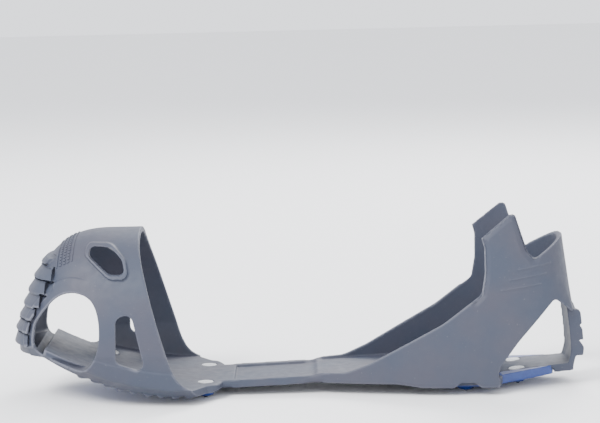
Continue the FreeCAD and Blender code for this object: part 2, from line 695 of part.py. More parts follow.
def vent_cut():
    """Rear side openings: between each arm and the back strap, down to the floor."""
    front = BACK - size("vent_front")
    corner_x, corner_z = BACK - size("vent_back"), size("vent_height")
    floor = size("floor_gap") + size("floor_thick")
    face = rounded_outline((
        (front, floor + 0.3, 1.0), (front + 1, floor + 7, 8), (front + 12, floor + 21, 30),
        (corner_x, corner_z, 1.5), (corner_x + 3.5, corner_z - 4, 4.0),
        (BACK - 6.5, corner_z - 9, 3.0), (BACK + 20, corner_z - 11, 1.0),
        (BACK + 20, floor + 8, 1.0), (BACK - 3, floor + 4.6, 1.0)))
    sides = through_sides("vent_sides", face)
    strap = doc.addObject("Part::Box", "vent_strap")
    strap.Length, strap.Height = FAR, FAR
    strap.setExpression("Width", "2 * Sizes.strap_half_width")
    strap.Placement = Placement(Vector(BACK - 30, -size("strap_half_width"), -50), Rotation())
    return boolean("Cut", "vent_cut", sides, strap)


def heel_floor_trim():
    """Narrows the heel floor behind the arms towards the back strap."""
    front, end = BACK - size("vent_front") + 1.0, BACK - size("heel_floor_end")
    strap = size("strap_half_width")
    cuts = []
    for side, sign in (("left", -1), ("right", 1)):
        corners = ((front, 90), (front, size("heel_half_width") - 2), (front + 3, 27),
                   (end - 8, strap + 2.5), (end - 1, strap), (BACK + 40, strap),
                   (BACK + 40, 90))
        face = rounded_outline([(x, sign * y, 5.0) for x, y in corners], "XY")
        cuts.append(through_height("heel_floor_side_" + side, face))
    low = doc.addObject("Part::Box", "heel_floor_zone")
    low.Length, low.Width, low.Height = 3 * FAR, 3 * FAR, 50
    low.Placement = Placement(Vector(-FAR, -FAR, size("floor_gap") + size("floor_thick")
                                     + size("bevel_rise") + 1.4 - 50), Rotation())
    return boolean("Common", "heel_floor_trim", joined("heel_floor_sides", cuts), low)


def strap_teeth():
    """Sawteeth down the outside of the back strap, each with a ledge on its underside."""
    teeth = []
    for index in range(3):
        ledge = size("strap_first") + index * size("strap_pitch")
        back = heel_back(ledge)
        proud, tall = size("strap_proud"), size("strap_tooth")
        face = rounded_outline((
            (back - 8, ledge, 0.3), (back + proud, ledge, 1.0), (back + proud, ledge + 2.2, 2.0),
            (back - 0.5, ledge + tall, 0.5), (back - 8, ledge + tall, 0.3)))
        teeth.append(through_sides("strap_tooth_%d" % (index + 1), face))
    width = doc.addObject("Part::Box", "strap_tooth_width")
    width.Length, width.Height = FAR, FAR
    width.setExpression("Width", "2 * Sizes.strap_half_width")
    width.Placement = Placement(Vector(BACK - 30, -size("strap_half_width"), -50), Rotation())
    skin = heel_form("strap_tooth_form", size("strap_proud"))
    return boolean("Common", "strap_teeth",
                   boolean("Common", "strap_tooth_bars", joined("strap_tooth_row", teeth), width),
                   skin)


def heel_harness(heel_plate_band, places):
    outer = boolean("Common", "heel_outside", heel_form("heel_outer_form", 0.0),
                    above_heel_floor("heel_under_line", 0.0))
    inner = boolean("Common", "heel_inside", heel_form("heel_inner_form", -size("wall")),
                    above_heel_floor("heel_floor_top", size("floor_thick")))
    ribbed = joined("heel_solid", [outer, strap_teeth()])
    shell = boolean("Cut", "heel_hollow", ribbed, inner)
    shell = boolean("Common", "heel_trimmed", shell,
                    through_sides("heel_outline", heel_outline_face()))
    shell = boolean("Cut", "heel_vented", shell, vent_cut())
    shell = boolean("Cut", "heel_narrowed", shell, heel_floor_trim())
    shell = boolean("Cut", "heel_recessed", shell, heel_plate_band)
    bores = joined("heel_bores", [stud_bore("heel", stud, stud_placement(tilt, x, y))
                                  for stud, tilt, x, y in places])
    return boolean("Cut", "heel_harness", shell, bores)


# ---------------------------------------------------------------- studs

def stud_jacket(stud, stand):
    top = "Sizes.floor_gap + Sizes.floor_thick"
    under = top + " - Sizes.flange_thick"
    seat = "Sizes.tip_length"
    profile = (("0", seat), ("Sizes.tip_radius + Sizes.fit_gap", seat),
               ("Sizes.tip_radius + Sizes.fit_gap", "Sizes.jacket_end"),
               ("Sizes.jacket_radius - 0.4", "Sizes.jacket_end"),
               ("Sizes.jacket_radius", "Sizes.jacket_end + 0.4"),
               ("Sizes.jacket_radius", under), ("Sizes.flange_radius", under),
               ("Sizes.flange_radius", top + " - 0.3"),
               ("Sizes.flange_radius - 0.3", top), ("0", top))
    return revolved_body("stud_jacket_" + stud, profile, stand)


def carbide_tip(stud, stand):
    profile = (("0", "0"), ("0.6 * Sizes.tip_radius", "0"), ("Sizes.tip_radius", "0.5"),
               ("Sizes.tip_radius", "Sizes.tip_length"), ("0", "Sizes.tip_length"))
    return revolved_body("carbide_tip_" + stud, profile, stand)


def build():
    """Builds every node and returns them in the order they are written."""
    places = stud_places()
    fore = [place for place in places if place[0].startswith("fore")]
    heel = [place for place in places if place[0].startswith("heel")]
    low, high = -size("plate_proud"), size("plate_thick") - size("plate_proud")
    fore_plate = plate("forefoot_stud_plate", fore_plate_profile("fore_band_side", low, high),
                       through_height("fore_band_plan", fore_plate_plan()), fore)
    heel_plate = plate("heel_stud_plate", heel_plate_profile("heel_band_side", low, high),
                       through_height("heel_band_plan", heel_plate_plan()), heel,
                       [heel_plate_rims()])
    nodes = [toe_harness(doc.getObject("forefoot_stud_plate_solid"), fore), web(),
             heel_harness(doc.getObject("heel_stud_plate_solid"), heel),
             fore_plate, heel_plate]
    for stud, tilt, x, y in places:
        stand = stud_placement(tilt, x, y)
        nodes.append(stud_jacket(stud, stand))
        nodes.append(carbide_tip(stud, stand))
    return nodes


nodes = build()
doc.recompute()
for thing in doc.Objects:
    if "Invalid" in thing.State or "Error" in thing.State:
        raise RuntimeError("%s: %s" % (thing.Name, thing.State))
for node in nodes:
    if node.Shape.isNull() or not node.Shape.isValid():
        raise RuntimeError("%s has no valid shape" % node.Name)
os.makedirs("parts", exist_ok=True)
for node in nodes:
    node.Shape.exportStep("parts/%s.step" % node.Label)
    print(node.Label, len(node.Shape.Solids), round(node.Shape.Volume), node.Shape.BoundBox)
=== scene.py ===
"""Looks of the pull-on ice cleat: moulded harness, stud plates, studs and a studio.

Sizes are in millimetres until a mesh is written, and places are worked out from the
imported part's own boxes.  The toe points towards -X and z = 0 is the ground.
"""

from __future__ import annotations

import logging
import math
from dataclasses import dataclass
from enum import Enum

import bmesh
import bpy
import numpy as np
from mathutils import Matrix, Vector
from mathutils.bvhtree import BVHTree

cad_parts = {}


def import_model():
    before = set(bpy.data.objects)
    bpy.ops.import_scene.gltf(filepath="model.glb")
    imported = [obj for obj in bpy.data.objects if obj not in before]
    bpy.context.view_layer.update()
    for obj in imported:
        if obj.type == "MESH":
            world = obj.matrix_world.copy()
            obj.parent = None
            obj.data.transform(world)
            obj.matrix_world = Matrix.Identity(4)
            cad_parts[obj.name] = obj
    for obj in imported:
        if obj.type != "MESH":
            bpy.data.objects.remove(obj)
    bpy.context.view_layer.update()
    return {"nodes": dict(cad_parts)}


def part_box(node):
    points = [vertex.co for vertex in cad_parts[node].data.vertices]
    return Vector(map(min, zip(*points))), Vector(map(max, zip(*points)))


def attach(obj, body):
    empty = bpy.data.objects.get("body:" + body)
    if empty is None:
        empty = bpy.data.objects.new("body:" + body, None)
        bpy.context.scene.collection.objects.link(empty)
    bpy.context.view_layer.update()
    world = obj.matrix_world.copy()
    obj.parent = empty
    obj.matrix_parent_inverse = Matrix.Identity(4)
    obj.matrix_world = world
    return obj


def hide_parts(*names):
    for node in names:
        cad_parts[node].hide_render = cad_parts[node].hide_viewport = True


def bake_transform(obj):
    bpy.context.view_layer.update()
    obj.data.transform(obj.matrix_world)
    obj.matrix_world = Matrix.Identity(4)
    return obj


LOG = logging.getLogger("ice_cleat")
MM = 0.001
FAR = 1000.0        # place along X that lies past every piece, in millimetres
UNMEASURED = 99.0   # distance given to vertices too far away to be worth measuring
TINY = 1e-6         # least length that a direction is divided by
NOT_ZERO = 1e-9     # stands in for 0 under a division
Array = np.ndarray
Colour = tuple[float, float, float]
Socket = bpy.types.NodeSocket
Nodes = dict[str, bpy.types.Object]


class Body(Enum):
    """Moving bodies of the part."""

    FOREFOOT = "forefoot"
    ARCH = "arch"
    HEEL = "heel"


class Slot(Enum):
    """Material kinds of the part."""

    HARNESS = "harness"
    PLATE = "plate"
    JACKET = "jacket"
    CARBIDE = "carbide"


# ------------------------------------------------------------------ helpers

def smoothstep(value: Array, low: float, high: float) -> Array:
    """Eases from 0 to 1 between two limits.

    Args:
        value: numbers to ease.
        low: value at which the result is 0.
        high: value at which the result is 1.

    Returns:
        Eased numbers, in 0 to 1.
    """
    share = np.clip((value - low) / (high - low), 0.0, 1.0)
    return share * share * (3.0 - 2.0 * share)


@dataclass(frozen=True)
class Ease:
    """Two limits between which a value eases from 0 to 1."""

    low: float
    high: float

    def rise(self, value: Array, origin: float = 0.0) -> Array:
        """Share that grows from 0 at the low limit to 1 at the high one.

        Args:
            value: numbers to ease.
            origin: place that both limits are measured from.

        Returns:
            Shares, in 0 to 1.
        """
        return smoothstep(value, origin + self.low, origin + self.high)

    def fall(self, value: Array, origin: float = 0.0) -> Array:
        """Share that drops from 1 at the low limit to 0 at the high one.

        Args:
            value: numbers to ease.
            origin: place that both limits are measured from.

        Returns:
            Shares, in 0 to 1.
        """
        return 1.0 - self.rise(value, origin)


def rounded_loop(corners: list[tuple[float, float]], steps: int = 8) -> Array:
    """Closed smooth loop through a few points.

    Args:
        corners: points the loop runs through, in order.
        steps: points placed between two corners.

    Returns:
        Points of the loop, one row each.
    """
    knots = np.array(corners, float)
    rows = []
    for index in range(len(knots)):
        a, b, c, d = (knots[(index + shift) % len(knots)] for shift in (-1, 0, 1, 2))
        for step in range(steps):
            s = step / steps
            rows.append(0.5 * (2 * b + (c - a) * s + (2 * a - 5 * b + 4 * c - d) * s ** 2
                               + (3 * b - a - 3 * c + d) * s ** 3))
    return np.array(rows)


def distance_to_path(points: Array, path: Array, closed: bool = True) -> Array:
    """Distance from each point to a path in the plane.

    Args:
        points: places to measure from, one row each.
        path: corners of the path.
        closed: whether the last corner joins the first.

    Returns:
        One distance for each point, at least 0.
    """
    best = np.full(len(points), np.inf)
    last = len(path) if closed else len(path) - 1
    for index in range(last):
        start, end = path[index], path[(index + 1) % len(path)]
        along = end - start
        share = np.clip(((points - start) @ along) / max(along @ along, NOT_ZERO), 0.0, 1.0)
        best = np.minimum(best, np.linalg.norm(points - start - share[:, None] * along, axis=1))
    return best


def inside_loop(points: Array, loop: Array) -> Array:
    """Whether each point is inside a closed loop in the plane.

    Args:
        points: places to test, one row each.
        loop: corners of the loop.

    Returns:
        True for each point that is inside.
    """
    inside = np.zeros(len(points), bool)
    for (x0, z0), (x1, z1) in zip(loop, np.roll(loop, -1, axis=0)):
        crosses = (z0 > points[:, 1]) != (z1 > points[:, 1])
        edge_x = (x1 - x0) * (points[:, 1] - z0) / ((z1 - z0) or NOT_ZERO) + x0
        inside ^= crosses & (points[:, 0] < edge_x)
    return inside


# ------------------------------------------------------------------ finishes

class Shader:
    """Builds one procedural material, node by node."""

    def __init__(self, name: str) -> None:
        """Starts a material with one surface node.

        Args:
            name: name of the material.
        """
        self.material = bpy.data.materials.new(name)
        self.material.use_nodes = True
        self.tree = self.material.node_tree
        self.surface = self.tree.nodes["Principled BSDF"]
        place = self.tree.nodes.new("ShaderNodeTexCoord")
        self.place = place.outputs["Object"]

    def node(self, kind: str, **settings: object) -> bpy.types.Node:
        """Adds a node and sets its properties or input values.

        Args:
            kind: node type without its "ShaderNode" prefix.
            **settings: property names, or input names with spaces as underscores.

        Returns:
            The new node.
        """
        made = self.tree.nodes.new("ShaderNode" + kind)
        for key, value in settings.items():
            title = key.replace("_", " ")
            if title in made.inputs:
                made.inputs[title].default_value = value
            else:
                setattr(made, key, value)
        return made

    def link(self, source: Socket, target: Socket) -> None:
        """Joins an output to an input.

        Args:
            source: output that gives the value.
            target: input that takes it.
        """
        self.tree.links.new(source, target)

    def noise(self, scale: float, detail: float = 4.0, rough: float = 0.5) -> Socket:
        """Cloudy noise fixed to the object.

        Args:
            scale: cells per metre.
            detail: octaves.
            rough: weight of the finer octaves.

        Returns:
            The noise's value output.
        """
        made = self.node("TexNoise", Scale=scale, Detail=detail, Roughness=rough)
        self.link(self.place, made.inputs["Vector"])
        return made.outputs["Fac"]

    def ramp(self, source: Socket, stops: list[tuple[float, float]]) -> Socket:
        """Maps a value through grey stops.

        Args:
            source: value to map.
            stops: (position, grey) pairs, in order.

        Returns:
            The ramp's output.
        """
        made = self.node("ValToRGB")
        points = made.color_ramp.elements
        while len(points) < len(stops):
            points.new(0.5)
        for point, (position, grey) in zip(points, stops):
            point.position = position
            point.color = (grey, grey, grey, 1.0)
        self.link(source, made.inputs["Fac"])
        return made.outputs["Color"]

    def mix(self, share: Socket | float, first: Socket | Colour,
            second: Socket | Colour) -> Socket:
        """Mixes two colours, each a socket or an (r, g, b) tuple.

        Args:
            share: weight of the second colour.
            first: colour at weight 0.
            second: colour at weight 1.

        Returns:
            The mixed colour.
        """
        made = self.tree.nodes.new("ShaderNodeMix")
        made.data_type = "RGBA"
        for value, socket in ((share, made.inputs[0]), (first, made.inputs[6]),
                              (second, made.inputs[7])):
            if isinstance(value, Socket):
                self.link(value, socket)
            elif isinstance(value, tuple):
                socket.default_value = (*value, 1.0)
            else:
                socket.default_value = value
        return made.outputs[2]

    def bump(self, height: Socket, depth: float, under: Socket | None = None) -> Socket:
        """Fine relief on the surface.

        Args:
            height: relief value.
            depth: real depth in metres.
            under: a bump's normal to add to.

        Returns:
            The bump's normal.
        """
        made = self.node("Bump", Strength=0.6, Distance=depth)
        self.link(height, made.inputs["Height"])
        if under is not None:
            self.link(under, made.inputs["Normal"])
        return made.outputs["Normal"]


@dataclass(frozen=True)
class RubberFinish:
    """Matte moulded elastomer with a fine grain, paler on its convex edges from a painted
    highlight and some rubbed wear, and darker in its grooves from painted shade.
    """

    colour: Colour = (0.035, 0.043, 0.066)
    cloud: Colour = (0.044, 0.046, 0.065)
    edge_highlight_and_wear: Colour = (0.125, 0.130, 0.160)
    # painted highlight for convex edges, partly rubbed wear
    shade: Colour = (0.022, 0.024, 0.034)
    # painted shade for grooves and creases
    dust: Colour = (0.14, 0.14, 0.15)
    sheen: float = 0.32
    grain: float = 0.00004
    swell: float = 0.00025

    def material(self) -> bpy.types.Material:
        """Makes the material.

        Returns:
            The harness material, which reads the mesh's "relief" attribute.
        """
        shader = Shader("harness_rubber")
        base = shader.mix(shader.ramp(shader.noise(38.0, 3.0), [(0.35, 0.0), (0.65, 1.0)]),
                          self.colour, self.cloud)
        relief = shader.node("Attribute", attribute_name="relief")
        # paler convex edges: painted edge highlight, partly rubbed wear
        edge = shader.ramp(relief.outputs["Fac"], [(0.60, 0.0), (0.95, 0.7)])
        # darker grooves and creases: painted shade
        painted_groove_shade = shader.ramp(relief.outputs["Fac"], [(0.10, 0.8), (0.42, 0.0)])
        base = shader.mix(edge, base, self.edge_highlight_and_wear)
        base = shader.mix(painted_groove_shade, base, self.shade)
        specks = shader.ramp(shader.noise(900.0, 2.0), [(0.71, 0.0), (0.76, 0.35)])
        base = shader.mix(specks, base, self.dust)
        shader.link(base, shader.surface.inputs["Base Color"])
        dull = shader.ramp(shader.noise(210.0, 5.0), [(0.3, 0.50), (0.7, 0.62)])
        shader.link(dull, shader.surface.inputs["Roughness"])
        shader.surface.inputs["Specular IOR Level"].default_value = self.sheen
        grain = shader.bump(shader.noise(3200.0, 2.0), self.grain)
        swell = shader.bump(shader.noise(120.0, 3.0), self.swell, grain)
        shader.link(swell, shader.surface.inputs["Normal"])
        return shader.material


@dataclass(frozen=True)
class PlateFinish:
    """Satin blue polyurethane, scuffed a little paler."""

    colour: Colour = (0.002, 0.023, 0.15)
    scuffed: Colour = (0.006, 0.038, 0.19)
    coat: float = 0.15
    coat_dullness: float = 0.3
    grain: float = 0.00005

    def material(self) -> bpy.types.Material:
        """Makes the material.

        Returns:
            The stud plates' material.
        """
        shader = Shader("plate_polyurethane")
        scuff = shader.ramp(shader.noise(260.0, 6.0, 0.65), [(0.5, 0.0), (0.72, 0.8)])
        shader.link(shader.mix(scuff, self.colour, self.scuffed),
                    shader.surface.inputs["Base Color"])
        dull = shader.ramp(shader.noise(140.0, 4.0), [(0.3, 0.28), (0.7, 0.42)])
        shader.link(dull, shader.surface.inputs["Roughness"])
        shader.surface.inputs["Coat Weight"].default_value = self.coat
        shader.surface.inputs["Coat Roughness"].default_value = self.coat_dullness
        shader.link(shader.bump(shader.noise(1500.0, 3.0), self.grain),
                    shader.surface.inputs["Normal"])
        return shader.material


@dataclass(frozen=True)
class MetalFinish:
    """Turned or sintered metal of the studs."""

    name: str
    colour: Colour
    tarnish: Colour
    smooth: float
    rough: float
    grain: float = 0.00003

    def material(self) -> bpy.types.Material:
        """Makes the material.

        Returns:
            The metal's material.
        """
        shader = Shader(self.name)
        spots = shader.ramp(shader.noise(700.0, 6.0, 0.6), [(0.42, 0.0), (0.66, 1.0)])
        shader.link(shader.mix(spots, self.colour, self.tarnish),
                    shader.surface.inputs["Base Color"])
        shader.surface.inputs["Metallic"].default_value = 1.0
        dull = shader.ramp(shader.noise(450.0, 4.0), [(0.3, self.smooth), (0.7, self.rough)])
        shader.link(dull, shader.surface.inputs["Roughness"])
        shader.link(shader.bump(shader.noise(2600.0, 3.0), self.grain),
                    shader.surface.inputs["Normal"])
        return shader.material


STEEL = MetalFinish("jacket_steel", (0.56, 0.57, 0.58), (0.36, 0.36, 0.37), 0.24, 0.42)
CARBIDE = MetalFinish("carbide_grey", (0.115, 0.115, 0.125), (0.06, 0.06, 0.065), 0.3, 0.5)


# ------------------------------------------------------------------ moulded surfaces

class Moulding:
    """A closed surface as arrays, which is relaxed and shaped before it is written."""

    WELD = 0.002          # vertices of two nodes this near each other become one
    END_MARGIN = 0.02     # vertices this near a flat end belong to it
    PUSH = 1.5            # length that a flat end is pushed into its neighbour
    SHRINK, SWELL = 0.55, -0.57   # one smoothing pass in, one slightly larger pass out
    RELIEF_GAIN = 5.0     # grey per millimetre of bend
    MARGIN = 4.0          # surface kept past a cut before the cut is made
    GUARD = 2.0           # faces this near a cut are not thinned

    def __init__(self, source: bpy.types.Object) -> None:
        """Reads the points, edges and faces of a mesh of quads.

        Args:
            source: object to read.
        """
        mesh = source.data
        count = len(mesh.vertices)
        self.points = np.empty(count * 3)
        mesh.vertices.foreach_get("co", self.points)
        self.points = self.points.reshape(-1, 3) / MM
        pairs = np.empty(len(mesh.edges) * 2, np.int32)
        mesh.edges.foreach_get("vertices", pairs)
        self.edges = pairs.reshape(-1, 2)
        corners = np.empty(len(mesh.polygons) * 4, np.int32)
        mesh.polygons.foreach_get("vertices", corners)
        self.quads = corners.reshape(-1, 4)
        self.degree = np.bincount(self.edges.ravel(), minlength=count)[:, None]

    @classmethod
    def from_nodes(cls, nodes: list[bpy.types.Object], voxel: float,
                   overlap: tuple[float, ...] = ()) -> Moulding:
        """Fuses copies of CAD nodes into one even surface.

        Args:
            nodes: CAD objects to copy.
            voxel: edge length of the new surface's faces.
            overlap: places along X where flat ends are pushed into each other.

        Returns:
            The fused surface.
        """
        mesh = bmesh.new()
        for node in nodes:
            mesh.from_mesh(node.data)
        bmesh.ops.remove_doubles(mesh, verts=mesh.verts, dist=cls.WELD * MM)
        for place in overlap:
            for vert in mesh.verts:
                if abs(vert.co.x - place * MM) < cls.END_MARGIN * MM:
                    vert.co.x += math.copysign(cls.PUSH * MM, place)
        data = bpy.data.meshes.new("moulding")
        mesh.to_mesh(data)
        mesh.free()
        block = bpy.data.objects.new("moulding", data)
        bpy.context.scene.collection.objects.link(block)
        remesh = block.modifiers.new("even", "REMESH")
        remesh.mode = "VOXEL"
        remesh.voxel_size = voxel * MM
        depsgraph = bpy.context.evaluated_depsgraph_get()
        even = bpy.data.meshes.new_from_object(block.evaluated_get(depsgraph))
        block.modifiers.clear()
        block.data = even
        made = cls(block)
        bpy.data.objects.remove(block)
        return made

    def relax(self, steps: int, strength: float = 0.5, share: Array | float = 1.0) -> None:
        """Moves each vertex towards the middle of its neighbours.

        Args:
            steps: number of passes.
            strength: share of the way moved in a pass; negative swells.
            share: weight of the move at each vertex.
        """
        first, second = self.edges.T
        count = len(self.points)
        for _ in range(steps):
            total = np.stack([np.bincount(first, self.points[second, axis], count)
                              + np.bincount(second, self.points[first, axis], count)
                              for axis in range(3)], axis=1)
            self.points += share * strength * (total / self.degree - self.points)

    def even_out(self, steps: int) -> None:
        """Takes out stair marks with hardly any shrinking.

        Args:
            steps: number of pairs of passes.
        """
        for _ in range(steps):
            self.relax(1, self.SHRINK)
            self.relax(1, self.SWELL)

    def normals(self) -> Array:
        """Outward directions at the vertices.

        Returns:
            One unit row per vertex.
        """
        a, b, c, d = (self.points[self.quads[:, corner]] for corner in range(4))
        face = np.cross(c - a, d - b)
        total = np.zeros_like(self.points)
        for corner in range(4):
            for axis in range(3):
                total[:, axis] += np.bincount(self.quads[:, corner], face[:, axis],
                                              len(self.points))
        return total / np.maximum(np.linalg.norm(total, axis=1, keepdims=True), NOT_ZERO)

    def relief(self, spread: int = 3) -> Array:
        """How convex the surface is at each vertex.

        Args:
            spread: passes that blur the result.

        Returns:
            0.5 where flat, more on edges and less in grooves.
        """
        first, second = self.edges.T
        count = len(self.points)
        mean = np.stack([np.bincount(first, self.points[second, axis], count)
                         + np.bincount(second, self.points[first, axis], count)
                         for axis in range(3)], axis=1) / self.degree
        bend = ((self.points - mean) * self.normals()).sum(axis=1)
        for _ in range(spread):
            around = (np.bincount(first, bend[second], count)
                      + np.bincount(second, bend[first], count)) / self.degree[:, 0]
            bend = 0.4 * bend + 0.6 * around
        return np.clip(0.5 + bend * self.RELIEF_GAIN, 0.0, 1.0)

    def write(self, name: str, low: float, high: float, limit: int) -> bpy.types.Object:
        """Writes the stretch between two places along X as a closed mesh.

        Args:
            name: name of the new object.
            low: place along X where it starts.
            high: place along X where it ends.
            limit: most triangles it may have.

        Returns:
            The new object.
        """
        near = ((self.points[:, 0] > low - self.MARGIN)
                & (self.points[:, 0] < high + self.MARGIN))
        kept = near[self.quads].all(axis=1)
        used = np.unique(self.quads[kept])
        index = np.full(len(self.points), -1)
        index[used] = np.arange(len(used))
        data = bpy.data.meshes.new(name)
        data.from_pydata((self.points[used] * MM).tolist(), [], index[self.quads[kept]].tolist())
        layer = data.attributes.new("relief", "FLOAT", "POINT")
        layer.data.foreach_set("value", self.relief()[used].astype(np.float32))
        mesh = bmesh.new()
        mesh.from_mesh(data)
        for place, outward in ((low, -1.0), (high, 1.0)):
            bmesh.ops.bisect_plane(mesh, geom=[*mesh.verts, *mesh.edges, *mesh.faces],
                                   plane_co=(place * MM, 0, 0), plane_no=(outward, 0, 0),
                                   clear_outer=True)
        for face in mesh.faces:
            face.smooth = True
        rim = [edge for edge in mesh.edges if edge.is_boundary]
        caps = bmesh.ops.edgeloop_fill(mesh, edges=rim)["faces"] if rim else []
        caps = bmesh.ops.triangulate(mesh, faces=caps, ngon_method="EAR_CLIP")["faces"]
        for face in caps:
            face.smooth = False
        for edge in rim:
            edge.smooth = False
        mesh.to_mesh(data)
        mesh.free()
        made = bpy.data.objects.new(name, data)
        bpy.context.scene.collection.objects.link(made)
        faces = sum(len(face.vertices) - 2 for face in data.polygons)
        LOG.info("%s: %d triangles before thinning", name, faces)
        if faces > limit:
            self.thin_out(made, (low, high), limit / faces)
        return made

    def thin_out(self, piece: bpy.types.Object, ends: tuple[float, float],
                 share: float) -> None:
        """Uses fewer, larger faces where the surface is calm, and none near a cut.

        Args:
            piece: piece to thin.
            ends: places along X of its two cuts.
            share: share of its faces to keep.
        """
        group = piece.vertex_groups.new(name="calm")
        calm = [vert.index for vert in piece.data.vertices
                if min(abs(vert.co.x / MM - end) for end in ends) > self.GUARD]
        group.add(calm, 1.0, "REPLACE")
        thin = piece.modifiers.new("thin", "DECIMATE")
        thin.ratio, thin.vertex_group = share, group.name
        depsgraph = bpy.context.evaluated_depsgraph_get()
        fewer = bpy.data.meshes.new_from_object(piece.evaluated_get(depsgraph),
                                                preserve_all_data_layers=True,
                                                depsgraph=depsgraph)
        piece.modifiers.clear()
        piece.vertex_groups.clear()
        piece.data = fewer


# ------------------------------------------------------------------ the harness

@dataclass
class Harness:
    """The stretchy harness: toe cap, arch strap, heel arms, tab, band and back strap."""

    nodes: Nodes
    finish: bpy.types.Material
    voxel: float = 0.5
    quick_voxel: float = 1.0

    # the line that the walls face away from
    toe_core: float = 48.0          # its front end, from the nose
    heel_core: float = 52.0         # its rear end, ahead of the back
    core_height: float = 34.0

    # lengths that bend and stretch, and the plain length ahead of each
    sole_bend: float = 24.0
    stretch_length: float = 68.0
    plain_length: float = 4.0

    # most triangles of each piece
    cap_limit: int = 194000
    strap_limit: int = 60000
    arms_limit: int = 120000

    # smoothing passes before and after the raised details
    first_passes: int = 4
    last_passes: int = 2

    # large side opening of the toe cap
    window_front: float = 14.4      # from the nose
    window_low: float = 21.2
    window_long: float = 39.0
    window_tall: float = 43.4
    window_reach: float = 75.0      # nothing past this place, from the nose, is near it
    window_top: float = 85.0        # nor anything above this height

    # raised frame round that opening
    frame_band: float = 6.6
    frame_rise: float = 0.75
    frame_extra: float = 1.6        # how much wider the band gets towards the rear
    frame_widening: Ease = Ease(18.0, 36.0)
    frame_fade: Ease = Ease(38.0, 50.0)

    # step above the side of the curved floor
    step_height: float = 14.5
    step_rise: float = 0.5
    step_ceiling: float = 27.0
    step_side: Ease = Ease(34.0, 40.0)
    step_start: Ease = Ease(44.0, 52.0)
    step_finish: Ease = Ease(92.0, 99.0)
    step_edge: Ease = Ease(-0.5, 0.5)
    outer_face: Ease = Ease(0.25, 0.55)
    rocker_radius: float = 195.0
    rocker_from_nose: float = 108.05
    floor_gap: float = 4.6

    # bumper round the nose
    tooth_pitch: float = 7.6
    tooth_first: float = 33.0
    tooth_share: float = 0.84
    tooth_slope: float = 2.0
    tooth_reach: float = 27.0       # rearmost place of the teeth, from the nose
    tooth_count: float = 6.6
    tooth_clearance: float = 3.9    # plain border round the large opening

    # bevelled edge of the upright tab
    bevel_width: float = 3.4
    bevel_depth: float = 1.5
    bevel_face: Ease = Ease(0.1, 0.5)
    tab_front: float = 56.1         # ahead of the back
    tab_back: float = 36.4          # ahead of the back
    tab_reach: float = 70.0         # nothing further ahead of the back belongs to the tab
    tab_foot: float = 50.0          # nor anything below this height

    # slim raised lines on the side of the heel: (front end ahead of the back, length)
    lines: tuple[tuple[float, float], ...] = ((37.0, 19.0), (42.0, 21.0), (47.0, 23.0))
    line_height: float = 71.0
    line_pitch: float = 5.6
    line_slant: float = 2.6
    line_rise: float = 0.35
    line_reach: float = 8.0
    line_face: Ease = Ease(0.25, 0.6)
    line_edge: Ease = Ease(0.4, 1.0)

    # back of the heel, with places along X measured from the back
    back_shift: float = 2.4
    back_start: Ease = Ease(-40.0, -14.0)
    back_foot: Ease = Ease(9.0, 22.0)
    strap_start: Ease = Ease(-22.0, -10.0)
    strap_top: Ease = Ease(44.0, 62.0)
    strap_flatness: float = 0.7
    strap_radius: float = 40.0
    strap_reach: float = 18.0

    # notches that bare the heel plate's front bosses
    boss_place: float = 97.5
    notch_depth: float = 3.0
    notch_ends: Ease = Ease(3.0, 8.5)
    notch_side: Ease = Ease(33.0, 35.5)
    notch_top: Ease = Ease(5.5, 14.0)

    # rounding where the arch strap meets the two halves
    join_reach: Ease = Ease(3.0, 6.0)
    join_passes: int = 40

    def __post_init__(self) -> None:
        """Finds the ends and joins of the harness from the CAD nodes' own boxes."""
        low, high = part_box("toe_harness")
        self.nose = low[0] / MM
        self.flex = high[0] / MM
        low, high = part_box("arch_web")
        self.joint = high[0] / MM
        low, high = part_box("heel_harness")
        self.back = high[0] / MM
        self.skin: Moulding | None = None

    def window(self) -> Array:
        """Outline of the toe cap's large side opening.

        Returns:
            Points of the outline in the XZ plane.
        """
        x, z = self.nose + self.window_front, self.window_low
        shares = ((0.0, 0.40), (0.09, 0.18), (0.28, 0.11), (0.52, 0.03), (0.74, 0.0),
                  (0.91, 0.16), (0.99, 0.42), (0.975, 0.72), (0.87, 0.92), (0.66, 1.0),
                  (0.40, 0.95), (0.18, 0.76), (0.04, 0.58))
        return rounded_loop([(x + self.window_long * u, z + self.window_tall * v)
                             for u, v in shares])

    def tab_edge(self) -> Array:
        """Edge of the upright tab, from the arm round the peak to the valley.

        Returns:
            Points of the edge in the XZ plane.
        """
        front, back = self.back - self.tab_front, self.back - self.tab_back
        return np.array([(front - 6.0, 54.0), (front - 2.0, 58.0), (front, 68.0),
                         (front, 83.5), (front - 1.6, 89.5), (back - 5.0, 102.5),
                         (back - 1.6, 102.5), (back + 4.4, 82.0), (back + 9.0, 76.6)])

    def outwardness(self, points: Array, normals: Array) -> Array:
        """How much each vertex faces out of the harness.

        Args:
            points: places of the vertices.
            normals: their outward directions.

        Returns:
            Shares from -1 on inner faces to 1 on outer ones.
        """
        core = points * np.array([1.0, 0.0, 0.0])
        core[:, 0] = np.clip(core[:, 0], self.nose + self.toe_core, self.back - self.heel_core)
        core[:, 2] = self.core_height
        away = points - core
        away /= np.maximum(np.linalg.norm(away, axis=1, keepdims=True), TINY)
        return (away * normals).sum(axis=1)

